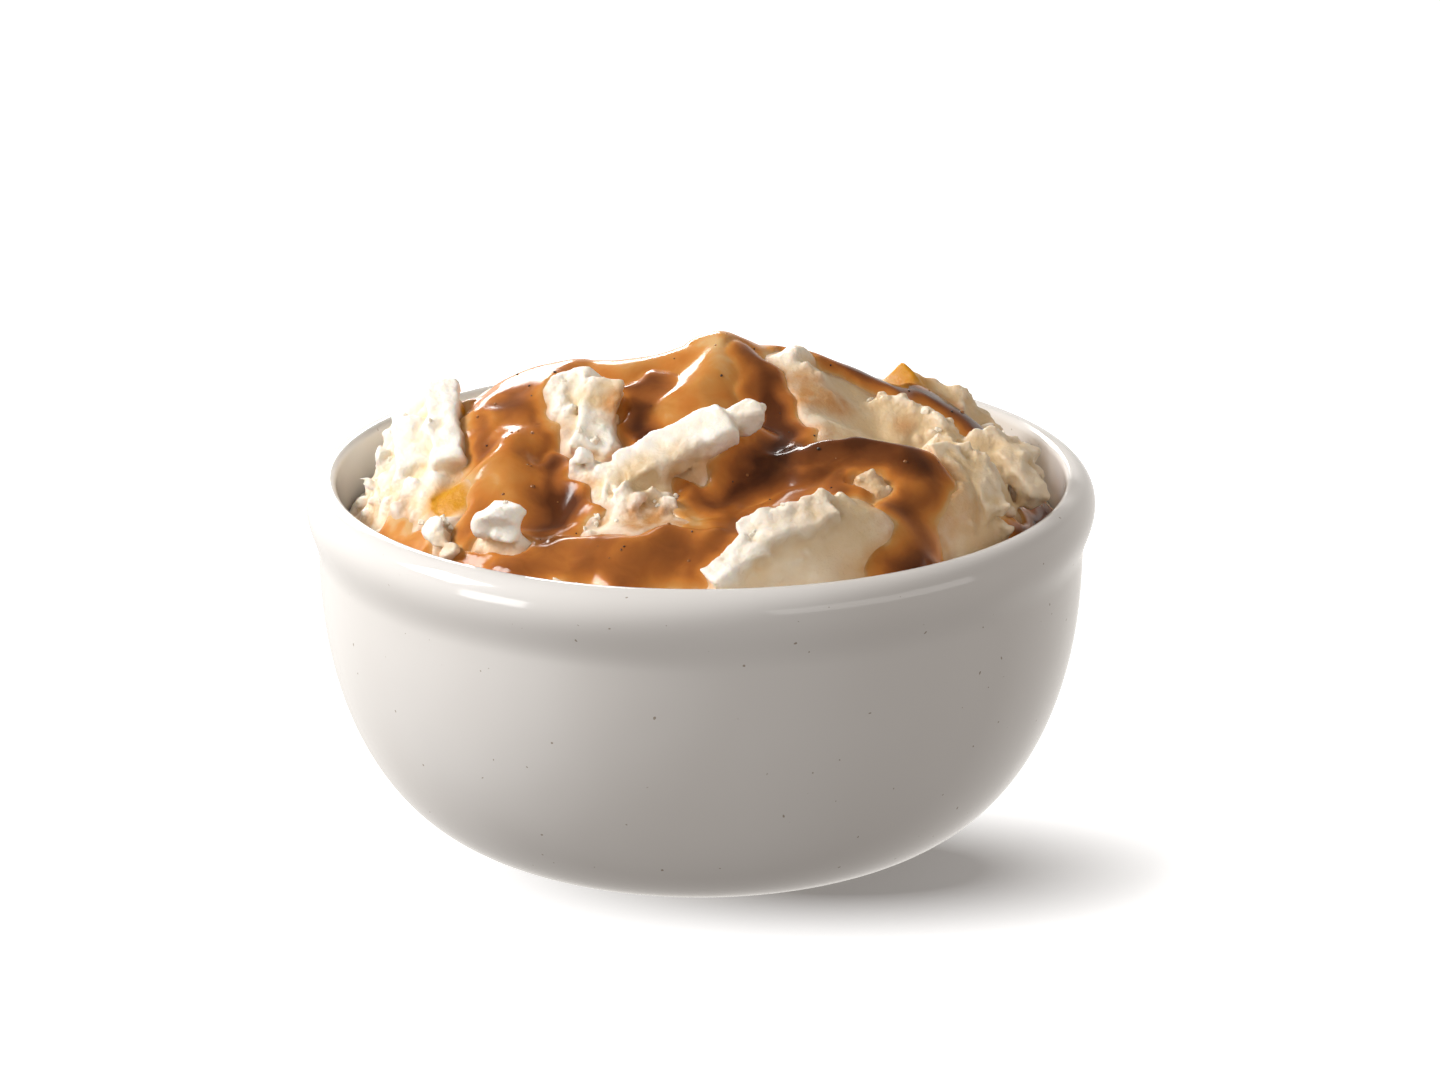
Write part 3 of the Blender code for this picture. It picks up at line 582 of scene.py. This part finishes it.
def sample(field, points):
    """The field's value at each point, in millimetres, by linear interpolation."""
    place = (points - GRID_LOW) / VOXEL
    cell = np.clip(np.floor(place).astype(int), 0, np.array(field.shape) - 2)
    part = np.clip(place - cell, 0, 1)
    total = np.zeros(len(points))
    for corner in np.ndindex(2, 2, 2):
        weight = np.prod(np.where(corner, part, 1 - part), axis=1)
        total += weight * field[tuple((cell + corner).T)]
    return total


def sample_plan(relief, points):
    """The value of a relief over each point's place in plan."""
    flat = points * (1, 1, 0) + GRID_LOW * (0, 0, 1)
    return sample(np.repeat(relief[:, :, None], 2, axis=2), flat)


def spots(points, places):
    """How much each point lies within the given soft-edged spots."""
    inside = np.zeros(len(points))
    for *centre, reach in places:
        distance = np.linalg.norm(points - centre, axis=1)
        inside = np.maximum(inside, np.clip(2 * (1 - distance / reach), 0, 1))
    return inside


def skin_of(field):
    """The zero surface of a field, as points in millimetres and quads that face outwards."""
    grid = openvdb.FloatGrid(background=5.0)
    grid.copyFromArray(np.ascontiguousarray(field, dtype=np.float32))
    points, quads = grid.convertToQuads(isovalue=0.0)
    return points * VOXEL + GRID_LOW, quads[:, ::-1].astype(int)


def main_parts(points, quads, least):
    """The points and quads of the connected parts that have at least this share of the biggest."""
    label = np.arange(len(points))
    while True:
        before = label.copy()
        np.minimum.at(label, quads, label[quads].min(axis=1)[:, None])
        label = label[label]
        if (label == before).all():
            break
    values, counts = np.unique(label[quads[:, 0]], return_counts=True)
    quads = quads[np.isin(label[quads[:, 0]], values[counts >= least * counts.max()])]
    used, quads = np.unique(quads, return_inverse=True)
    return points[used], quads.reshape(-1, 4)


def ring(radius, height, angles):
    """Points at the given angles about the bowl's axis."""
    heights = np.full(len(angles), height)
    return np.column_stack([radius * np.cos(angles), radius * np.sin(angles), heights])


def band(upper, lower):
    """The quads between two rings, each given by the numbers of its points."""
    return np.column_stack([np.roll(upper, -1), upper, lower, np.roll(lower, -1)])


def close_below(points, quads):
    """Carries the mesh's open lower edge down the inside of the bowl to its floor."""
    edges = np.concatenate([quads[:, [i, (i + 1) % 4]] for i in range(4)])
    count = len(points)
    forward, backward = edges[:, 0] * count + edges[:, 1], edges[:, 1] * count + edges[:, 0]
    following = dict(edges[~np.isin(forward, backward)].tolist())
    loop = [next(iter(following))]
    while following[loop[-1]] != loop[0]:
        loop.append(following[loop[-1]])
    loop = np.array(loop)
    angles = np.arctan2(points[loop, 1], points[loop, 0])
    floor = FLOOR + CLEARANCE
    heights = np.linspace(1, 0, 14)[:-1] ** 1.5 * (GRID_LOW[2] - 1 - floor) + floor
    rings = [(cavity_radius(height) - CLEARANCE, height) for height in heights]
    rings += [(share * (cavity_radius(floor) - CLEARANCE), floor) for share in (1, 0.5, 0.02)]
    faces = [quads]
    for _ in rings:
        low = count + np.arange(len(loop))
        faces.append(band(loop, low))
        loop, count = low, count + len(loop)
    faces = np.concatenate(faces).tolist() + [loop[::-1].tolist()]
    return np.concatenate([points, *(ring(radius, height, angles) for radius, height in rings)]), faces


def thin_out(piece, triangles):
    """Reduces the piece's mesh to about the given number of triangles, and returns its points."""
    now = sum(len(polygon.vertices) - 2 for polygon in piece.data.polygons)
    if now > triangles:
        piece.modifiers.new("thin", "DECIMATE").ratio = triangles / now
        mesh = bpy.data.meshes.new_from_object(piece.evaluated_get(bpy.context.evaluated_depsgraph_get()))
        piece.modifiers.clear()
        piece.data = mesh
    mesh = piece.data
    points = np.empty(len(mesh.vertices) * 3, np.float32)
    mesh.vertices.foreach_get("co", points)
    return points.reshape(-1, 3) / MM


def add_object(name, data):
    """An object of the given data in the scene."""
    made = bpy.data.objects.new(name, data)
    bpy.context.scene.collection.objects.link(made)
    return made


def mesh_object(name, points, faces, material):
    """A smooth shaded object from points in millimetres."""
    mesh = bpy.data.meshes.new(name)
    mesh.from_pydata((np.asarray(points) * MM).tolist(), [], faces)
    mesh.validate()
    mesh.shade_smooth()
    mesh.materials.append(material)
    return add_object(name, mesh)


def make_piece(name, points, faces, material):
    """A piece of the part, riding on the root body."""
    piece = mesh_object(name, points, faces, material)
    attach(piece, "root")
    return piece


def set_attribute(piece, name, values):
    """Stores one number for each vertex, for the material to read."""
    attribute = piece.data.attributes.new(name, "FLOAT", "POINT")
    attribute.data.foreach_set("value", np.asarray(values, dtype=np.float32))


# -------- materials

# The painted shadow on the floor: where the floor's glow dims by the bowl's foot.
SHADOW_PLACE, SHADOW_HALF = (0.024, -0.028, 0), (0.054, 0.026, 1)  # of the dim patch by the foot, m


class Nodes:
    """Short ways to add nodes to a node tree."""

    def __init__(self, tree):
        self.tree = tree

    def node(self, kind, **settings):
        """A new node of the given kind."""
        made = self.tree.nodes.new(kind)
        for key, value in settings.items():
            setattr(made, key, value)
        return made

    def spread(self, value, low, high, to_low=0.0, to_high=1.0):
        """The value carried from low..high to another range, and held there."""
        node = self.node("ShaderNodeMapRange")
        ends = {"From Min": low, "From Max": high, "To Min": to_low, "To Max": to_high}
        for name, number in ends.items():
            node.inputs[name].default_value = number
        self.put(value, node.inputs["Value"])
        return node.outputs["Result"]

    def put(self, value, socket):
        """Sets an input to a number or a colour, or joins an output to it."""
        if isinstance(value, tuple):
            socket.default_value = (*value, 1)
        elif isinstance(value, (int, float)):
            socket.default_value = value
        else:
            self.tree.links.new(value, socket)

    def math(self, operation, a, b):
        """Two values put together."""
        node = self.node("ShaderNodeMath", operation=operation)
        self.put(a, node.inputs[0])
        self.put(b, node.inputs[1])
        return node.outputs["Value"]

    def mix(self, factor, a, b):
        """Two colours mixed by a factor."""
        node = self.node("ShaderNodeMix", data_type="RGBA")
        colours = [socket for socket in node.inputs if socket.type == "RGBA"]
        for socket, value in zip((node.inputs["Factor"], *colours), (factor, a, b), strict=True):
            self.put(value, socket)
        return next(socket for socket in node.outputs if socket.type == "RGBA")


class Shader(Nodes):
    """A material with short ways to build on its Principled shader."""

    def __init__(self, name, roughness, ior=1.45):
        self.material = bpy.data.materials.new(name)
        self.material.use_nodes = True
        super().__init__(self.material.node_tree)
        self.principled = self.tree.nodes["Principled BSDF"]
        self.feed("Roughness", roughness)
        self.feed("IOR", ior)
        self.position = self.node("ShaderNodeTexCoord").outputs["Object"]

    def feed(self, name, value):
        """Gives a value to an input of the Principled shader."""
        self.put(value, self.principled.inputs[name])

    def attribute(self, name):
        """A number stored for each vertex."""
        return self.node("ShaderNodeAttribute", attribute_name=name).outputs["Fac"]

    def texture(self, kind, size, **settings):
        """A texture whose features are about the given size, in millimetres."""
        texture = self.node(kind, **settings)
        texture.inputs["Scale"].default_value = 1 / (size * MM)
        self.put(self.position, texture.inputs["Vector"])
        return texture

    def noise(self, size, detail, distortion=0.0):
        """Noise between 0 and 1."""
        texture = self.texture("ShaderNodeTexNoise", size)
        texture.inputs["Detail"].default_value = detail
        texture.inputs["Distortion"].default_value = distortion
        return texture.outputs["Fac"]

    def vary(self, size, detail, low, high, distortion=0.0):
        """Noise carried to the range from low to high."""
        return self.spread(self.noise(size, detail, distortion), 0.3, 0.7, low, high)

    def ramp(self, value, stops):
        """A colour for each value, through the given (place, colour) stops."""
        node = self.node("ShaderNodeValToRGB")
        elements = node.color_ramp.elements
        while len(elements) < len(stops):
            elements.new(0.5)
        for element, (place, colour) in zip(elements, stops, strict=True):
            element.position = place
            element.color = (*colour, 1)
        self.put(value, node.inputs["Fac"])
        return node.outputs["Color"]

    def bump(self, height, depth):
        """Fine relief of the given depth, in millimetres, added over the bumps so far."""
        node = self.node("ShaderNodeBump")
        node.inputs["Distance"].default_value = depth * MM
        node.inputs["Strength"].default_value = 1.0
        self.put(height, node.inputs["Height"])
        normal = self.principled.inputs["Normal"]
        if normal.is_linked:
            self.put(normal.links[0].from_socket, node.inputs["Normal"])
        self.put(node.outputs["Normal"], normal)

    def scatter(self, weight, radius, scale):
        """Light that sinks in and comes out nearby, farther for red than for blue."""
        self.feed("Subsurface Weight", weight)
        self.feed("Subsurface Scale", scale * MM)
        self.principled.inputs["Subsurface Radius"].default_value = radius


def glaze_material():
    """Off-white glaze: glossy, very slightly wavy, with a few warm specks, and painted greyer inside for
    the shade that falls in the bowl.
    """
    shader = Shader("glaze", 0.09, 1.5)
    cloud = shader.noise(40, 2)
    colour = shader.ramp(cloud, [(0.35, (0.77, 0.745, 0.715)), (0.65, (0.8, 0.78, 0.755))])
    # Painted shade: the inside of the bowl gets a greyer, darker glaze colour.
    colour = shader.mix(shader.attribute("inside"), colour, (0.62, 0.575, 0.53))
    speck = shader.spread(shader.noise(0.9, 0), 0.86, 0.875)
    colour = shader.mix(speck, colour, (0.42, 0.36, 0.3))
    shader.feed("Base Color", colour)
    shader.feed("Roughness", shader.vary(9, 3, 0.06, 0.13))
    shader.bump(shader.noise(14, 1), 0.1)
    shader.bump(shader.noise(2.5, 1), 0.006)
    return shader.material


def clay_material():
    """The bare clay of the foot ring, matt and sandy."""
    shader = Shader("bare_clay", 0.85)
    colour = shader.ramp(shader.noise(0.8, 4), [(0.3, (0.52, 0.44, 0.35)), (0.7, (0.68, 0.61, 0.51))])
    shader.feed("Base Color", colour)
    shader.bump(shader.noise(0.5, 3), 0.12)
    return shader.material


def mash_material(name, sinking):
    """Creamy potato with painted light and shade: pale on the crests, warmer and darker in the hollows,
    tan on the side away from the key light; browned where gravy soaked in.
    """
    shader = Shader(name, 0.45, 1.4)
    grain = shader.vary(2.2, 4, -0.07, 0.07)
    hollow = shader.math("ADD", shader.attribute("hollow"), grain)
    # Painted light and shade: the hollow measure makes the mash darker and warmer in creases and recesses,
    # and paler on the crests.
    colour = shader.ramp(hollow, [
        (0.15, (0.88, 0.84, 0.76)), (0.5, (0.85, 0.75, 0.59)), (0.9, (0.78, 0.56, 0.3))])
    # Painted shade: a tan that grows towards the east side, away from the key light, and in spots that are
    # partly soaked with gravy and partly in shade; kept off the pale crests.
    soak = shader.math("ADD", shader.attribute("soak"), shader.vary(6, 3, -0.25, 0.25))
    soak = shader.math("MULTIPLY", soak, shader.spread(hollow, 0.0, 0.35, 0.7, 1))
    colour = shader.mix(shader.spread(soak, 0, 1), colour, (0.63, 0.465, 0.27))
    patches = shader.spread(shader.noise(2.5, 4), 0.3, 0.6, 0.45, 1)
    stain = shader.math("MULTIPLY", shader.attribute("stain"), patches)
    colour = shader.mix(stain, colour, (0.53, 0.26, 0.09))
    colour = shader.mix(shader.attribute("butter"), colour, (0.6, 0.265, 0.004))
    shader.feed("Base Color", colour)
    shader.feed("Roughness", shader.vary(1.2, 3, 0.38, 0.6))
    shader.scatter(sinking, (0.85, 0.6, 0.4), 0.75)
    shader.bump(shader.noise(1.3, 4, 0.4), 0.2)
    shader.bump(shader.noise(0.4, 3), 0.08)
    grains = shader.texture("ShaderNodeTexVoronoi", 0.8, feature="SMOOTH_F1")
    grains.inputs["Smoothness"].default_value = 0.4
    grains = shader.math("SUBTRACT", 1.0, grains.outputs["Distance"])
    shader.bump(shader.math("MULTIPLY", grains, shader.attribute("crumb")), 0.18)
    return shader.material


def gravy_material():
    """Brown gravy: orange and clear where it is thin, dark where it lies deep, wet and glossy."""
    shader = Shader("gravy", 0.1, 1.36)
    shader.feed("Specular IOR Level", 0.4)
    cloud = shader.vary(5, 4, -0.3, 0.3, 0.8)
    deep = shader.math("ADD", shader.attribute("depth"), cloud)
    colour = shader.ramp(shader.spread(deep, 0.0, 4.0), [
        (0.0, (0.72, 0.44, 0.19)), (0.1, (0.69, 0.305, 0.075)), (0.25, (0.61, 0.215, 0.04)),
        (0.45, (0.40, 0.128, 0.026)), (0.7, (0.22, 0.066, 0.015)), (1.0, (0.11, 0.030, 0.007))])
    shader.feed("Base Color", colour)
    shader.feed("Roughness", shader.vary(3, 3, 0.12, 0.22))
    shader.scatter(0.2, (1.0, 0.35, 0.1), 0.9)
    shader.bump(shader.noise(2.4, 2), 0.05)
    return shader.material


def pepper_material():
    """Ground black pepper."""
    shader = Shader("pepper", 0.5)
    colour = shader.ramp(shader.noise(0.3, 2), [(0.3, (0.02, 0.012, 0.006)), (0.7, (0.09, 0.045, 0.02))])
    shader.feed("Base Color", colour)
    shader.bump(shader.noise(0.12, 2), 0.05)
    return shader.material


def paper_material():
    """The plain pale floor, glowing like a light table, with a painted shadow where its glow dims by the
    bowl's foot.
    """
    shader = Shader("paper", 0.7)
    shader.feed("Base Color", (0.9, 0.9, 0.9))
    shader.feed("Specular IOR Level", 0.2)
    place = shader.node("ShaderNodeMapping", vector_type="TEXTURE")
    place.inputs["Location"].default_value = SHADOW_PLACE
    place.inputs["Scale"].default_value = SHADOW_HALF
    shader.put(shader.position, place.inputs["Vector"])
    length = shader.node("ShaderNodeVectorMath", operation="LENGTH")
    shader.put(place.outputs["Vector"], length.inputs["Vector"])
    # Painted shadow: the floor glows less in a patch by the bowl's foot.
    glow_with_painted_shadow = shader.spread(length.outputs["Value"], 0.4, 1.1, 0.05, 0.85)
    shader.feed("Emission Color", (1, 1, 1))
    shader.feed("Emission Strength", glow_with_painted_shadow)
    return shader.material


# -------- pieces


def quarter(start, end, count, out=True):
    """Points of a quarter ellipse between two places, without its first one."""
    points = []
    for i in range(1, count + 1):
        turn = math.pi / 2 * i / count
        shares = (1 - math.cos(turn), math.sin(turn))
        across, up = shares if out else shares[::-1]
        points.append((start[0] + (end[0] - start[0]) * across, start[1] + (end[1] - start[1]) * up))
    return points


def bowl_profile():
    """Half of the bowl's section as (radius, height), from under the foot round to the inside."""
    recess = (RECESS_RADIUS - RECESS_DEPTH, RECESS_DEPTH)
    points = [recess, *quarter(recess, (RECESS_RADIUS, 0), RECESS_RINGS)]
    points += [(RECESS_RADIUS + 2, 0), (FOOT_RADIUS - 1.5, 0), (FOOT_RADIUS, 0)]
    for i in range(2, WALL_RINGS):
        height = NECK_HEIGHT * (i / WALL_RINGS) ** 2
        points.append((wall_radius(height, 0, BODY_START, NECK_RADIUS), height))
    for i in range(NECK_RINGS + 1):
        swell = (1 - math.cos(math.pi * i / NECK_RINGS)) / 2
        points.append((NECK_RADIUS + (BAND_RADIUS - NECK_RADIUS) * swell,
                       NECK_HEIGHT + (BAND_HEIGHT - NECK_HEIGHT) * i / NECK_RINGS))
    points += quarter((BAND_RADIUS, BAND_HEIGHT), (CREST_RADIUS, RIM_HEIGHT), BAND_RINGS)
    points += quarter((CREST_RADIUS, RIM_HEIGHT), (MOUTH_RADIUS, MOUTH_HEIGHT), LIP_RINGS, out=False)
    for i in range(INNER_RINGS):
        height = FLOOR + (NECK_HEIGHT - FLOOR) * (1 - i / (INNER_RINGS - 1)) ** 2
        points.append((cavity_radius(height), height))
    return points


def make_bowl():
    """The bowl turned finely about its axis, with the bare clay of its foot ring."""
    profile = bowl_profile()
    around = 256
    angles = 2 * math.pi * np.arange(around) / around
    middles = [(0, 0, profile[0][1]), (0, 0, profile[-1][1])]
    points = np.concatenate([middles, *(ring(radius, height, angles) for radius, height in profile)])
    rings = len(middles) + np.arange(len(profile) * around).reshape(-1, around)
    faces = np.concatenate([band(rings[i + 1], rings[i]) for i in range(len(rings) - 1)]).tolist()
    for middle, edge in ((0, rings[0]), (1, rings[-1][::-1])):
        faces += [(middle, b, a) for a, b in zip(edge.tolist(), np.roll(edge, -1).tolist(), strict=True)]
    piece = make_piece("glazed_bowl", points, faces, glaze_material())
    piece.data.materials.append(clay_material())
    # The inner rings, where the glaze paints the shade inside the bowl.
    inner = [i >= len(profile) - INNER_RINGS for i in range(len(profile))]
    set_attribute(piece, "inside", [0, 1] + np.repeat(inner, around).tolist())
    for polygon in piece.data.polygons:
        centre = polygon.center / MM
        if centre.z < 0.01 and RECESS_RADIUS - 1 < math.hypot(centre.x, centre.y) < FOOT_RADIUS:
            polygon.material_index = 1
    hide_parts("bowl")
    return piece


def make_mash(field, gravy, crumb):
    """The heap of mash, with what its material needs to know about each place on it."""
    points, quads = skin_of(field)
    keep = (points[quads, 2] > GRID_LOW[2] + 2 * VOXEL).all(axis=1)
    points, faces = close_below(*main_parts(points, quads[keep], 1))
    piece = make_piece("mash_heap", points, faces, mash_material("mash", 0.55))
    points = thin_out(piece, MASH_TRIANGLES)
    fine = blur(field, 0.9, 1)
    wide = blur(fine, 2.2, 2)
    # Painted shade: how far each place lies in a crease or recess, so that the mash is coloured darker and
    # warmer there.
    hollow = 0.4 - 0.32 * sample(wide, points) - 0.65 * sample(fine, points)
    set_attribute(piece, "hollow", np.clip(hollow, 0, 1))
    touched = np.clip((1.8 - sample(gravy, points)) / 2.2, 0, 1)
    set_attribute(piece, "stain", np.maximum(touched, spots(points, STAINED)))
    # Painted shade: tan rising with x on the side away from the key light, and the soaked spots, partly
    # gravy and partly shade.
    set_attribute(piece, "soak", np.maximum(np.clip((points[:, 0] - 2) / 22, 0, 1), spots(points, SOAKED_AND_SHADED)))
    set_attribute(piece, "butter", spots(points, BUTTER))
    set_attribute(piece, "crumb", sample_plan(crumb, points))
    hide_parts("mash")
    return piece


def make_gravy(gravy, field, rope):
    """The gravy, with how deep it lies at each place on it."""
    points, quads = main_parts(*skin_of(gravy), 0.004)
    piece = make_piece("gravy_pour", points, quads.tolist(), gravy_material())
    points = thin_out(piece, GRAVY_TRIANGLES)
    set_attribute(piece, "depth", np.maximum(sample(field, points) - sample_plan(rope, points), 0))
    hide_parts("gravy")
    return piece


def top_of(field):
    """The height of the field's upper surface over each point of the plan."""
    inside = field < 0
    last = inside.shape[2] - 1 - inside[:, :, ::-1].argmax(axis=2)
    last = np.clip(last, 0, inside.shape[2] - 2)
    low = np.take_along_axis(field, last[:, :, None], axis=2)[:, :, 0]
    high = np.take_along_axis(field, last[:, :, None] + 1, axis=2)[:, :, 0]
    return GRID_LOW[2] + VOXEL * (last + np.clip(low / (low - high), 0, 1))


def ball(detail):
    """The corners and triangles of a unit ball."""
    maker = bmesh.new()
    bmesh.ops.create_icosphere(maker, subdivisions=detail, radius=1)
    points = np.array([corner.co for corner in maker.verts])
    faces = np.array([[corner.index for corner in face.verts] for face in maker.faces])
    maker.free()
    return points, faces


def strew(name, places, detail, rough, seed, material, stretch=(0.6, 1.3)):
    """One mesh of many small irregular balls, at the places that were found for its name."""
    rng = np.random.default_rng(seed)
    points, faces = ball(detail)
    all_points, all_faces = [], []
    for i, (centre, radius) in enumerate(places[name]):
        turn = np.linalg.qr(rng.normal(size=(3, 3)))[0]
        turn[:, 0] *= np.sign(np.linalg.det(turn))
        bumps = 1 + rough * smooth_noise(points.astype(np.float32) * 1.3 + 17.0 * i, 1.0, seed)
        grain = points * bumps[:, None] * rng.uniform(*stretch, 3)
        all_points.append(grain @ turn.T * radius + centre)
        all_faces.append(faces + i * len(points))
    faces = np.concatenate(all_faces).tolist()
    return make_piece(name, np.concatenate(all_points), faces, material)


def find_places(field, gravy, depth, crumb):
    """Where each kind of small piece lies, as centres and radii."""
    rng = np.random.default_rng(50)
    mash_top, gravy_top = top_of(field), top_of(gravy)
    wet = (gravy_top > mash_top + 0.3) & (depth > 0.4)
    top = np.where(wet, gravy_top, mash_top)
    likely = {
        "mash_crumbs": np.where(wet, 0, crumb - 0.15),
        "pepper_specks": wet,
        "gravy_bubbles": np.where(wet, (depth - 1) / 3, 0),
    }
    places = {name: [] for name in GRAINS}
    while any(len(places[name]) < grain[0] for name, grain in GRAINS.items()):
        i, j = (int(rng.integers(n)) for n in depth.shape)
        x, y = GRID_LOW[0] + i * VOXEL, GRID_LOW[1] + j * VOXEL
        size, chance = rng.uniform(0, 1), rng.uniform(0, 1)
        if math.hypot(x, y) > SHORE_RADIUS - 5:
            continue
        for name, (count, least, growth, power, lift) in GRAINS.items():
            if chance < likely[name][i, j] and len(places[name]) < count:
                radius = least + growth * size**power
                places[name].append(((x, y, top[i, j] + lift * radius), radius))
    return places


def make_small_pieces(places):
    """Loose crumbs of mash, and the pepper and the bubbles in the gravy."""
    crumbs = strew("mash_crumbs", places, 3, 0.8, 51, mash_material("crumb", 0.1))
    # Painted shade: the loose crumbs all get one middling hollow tone.
    set_attribute(crumbs, "hollow", np.full(len(crumbs.data.vertices), 0.35))
    pepper = strew("pepper_specks", places, 1, 0.4, 52, pepper_material())
    clear = bpy.data.materials["gravy"]
    return [crumbs, pepper, strew("gravy_bubbles", places, 2, 0.05, 53, clear, (0.95, 1.05))]


def make_floor():
    """The floor, which throws no light back onto the part."""
    half = 4 / MM
    corners = [(-half, -half, 0), (half, -half, 0), (half, half, 0), (-half, half, 0)]
    piece = mesh_object("floor", corners, [(0, 1, 2, 3)], paper_material())
    piece.visible_diffuse = False
    piece.visible_glossy = False
    return piece


# -------- studio

# Each light's place, size, power, colour and the group of pieces that it lights.
LIGHTS = {
    "key": ((-0.74, -0.04, 0.58), (0.32, 0.32), 8.0, (1, 0.99, 0.98), "part"),
    "back": ((-0.22, 0.7, 0.36), (0.36, 0.2), 3.2, (1, 0.99, 0.97), "part"),
    "right": ((0.7, -0.58, 0.36), (1.1, 0.3), 1.7, (1, 0.97, 0.94), "part"),
    "left": ((-0.72, -0.45, 0.16), (0.3, 0.3), 2.0, (1, 0.99, 0.98), "bowl"),
    "front": ((-0.45, -0.6, 0.55), (0.5, 0.5), 2.2, (1, 0.985, 0.965), "mash"),
    "side": ((0.7, -0.58, 0.36), (0.5, 0.5), 0.8, (1, 0.97, 0.94), "mash"),
    "above": ((-0.35, 0.12, 0.9), (0.45, 0.45), 3.0, (1, 1, 1), "floor"),
}
AIM = Vector((0, 0, 0.05))


def light_group(name, members):
    """A collection of pieces for a light to be kept to."""
    group = bpy.data.collections.new("lit_" + name)
    for member in members:
        group.objects.link(member)
    return group


def make_lights(pieces, floor):
    """Soft light from the left and from above and behind, with a dim warm front."""
    groups = {"floor": light_group("floor", [floor])}
    for name, start in (("part", ""), ("bowl", "glazed_bowl"), ("mash", "mash")):
        groups[name] = light_group(name, [piece for piece in pieces if piece.name.startswith(start)])
    for name, (place, size, power, colour, group) in LIGHTS.items():
        light = bpy.data.lights.new(name, "AREA")
        light.shape = "RECTANGLE"
        light.size, light.size_y = size
        light.energy = power
        light.color = colour
        lamp = add_object(name, light)
        lamp.location = place
        lamp.rotation_euler = (AIM - lamp.location).to_track_quat("-Z", "Y").to_euler()
        lamp.light_linking.receiver_collection = groups[group]


def make_sky():
    """A dim warm surround with a bright strip low behind the bowl."""
    world = bpy.data.worlds.new("studio")
    bpy.context.scene.world = world
    world.use_nodes = True
    sky = Nodes(world.node_tree)
    way = sky.node("ShaderNodeSeparateXYZ")
    sky.put(sky.node("ShaderNodeTexCoord").outputs["Generated"], way.inputs["Vector"])
    behind = sky.spread(way.outputs["Y"], 0.2, 0.8)
    low = sky.spread(way.outputs["Z"], 0.25, 0.6, 1, 0)
    colour = sky.mix(sky.math("MULTIPLY", behind, low), (0.27, 0.25, 0.235), (1.0, 0.96, 0.91))
    sky.put(colour, sky.tree.nodes["Background"].inputs["Color"])


CAMERA_PLACE = (0.00315, -0.6188, 0.2542)
CAMERA_DIP = 18.5  # degrees below level
CAMERA_LENS = 98.2


def make_camera():
    """The viewpoint: a little above the rim, looking down at the middle of the bowl."""
    camera = bpy.data.cameras.new("camera")
    camera.sensor_width = 36
    camera.lens = CAMERA_LENS
    camera.clip_start = 0.05
    view = add_object("camera", camera)
    view.location = CAMERA_PLACE
    view.rotation_euler = (math.radians(90 - CAMERA_DIP), 0, 0)
    bpy.context.scene.camera = view
    bpy.context.scene.view_settings.view_transform = "Standard"


field, gravy, depth, rope, crumb = sculpt_heap()
pieces = [make_bowl(), make_mash(field, gravy, crumb), make_gravy(gravy, field, rope),
          *make_small_pieces(find_places(field, gravy, depth, crumb))]
make_lights(pieces, make_floor())
make_sky()
make_camera()
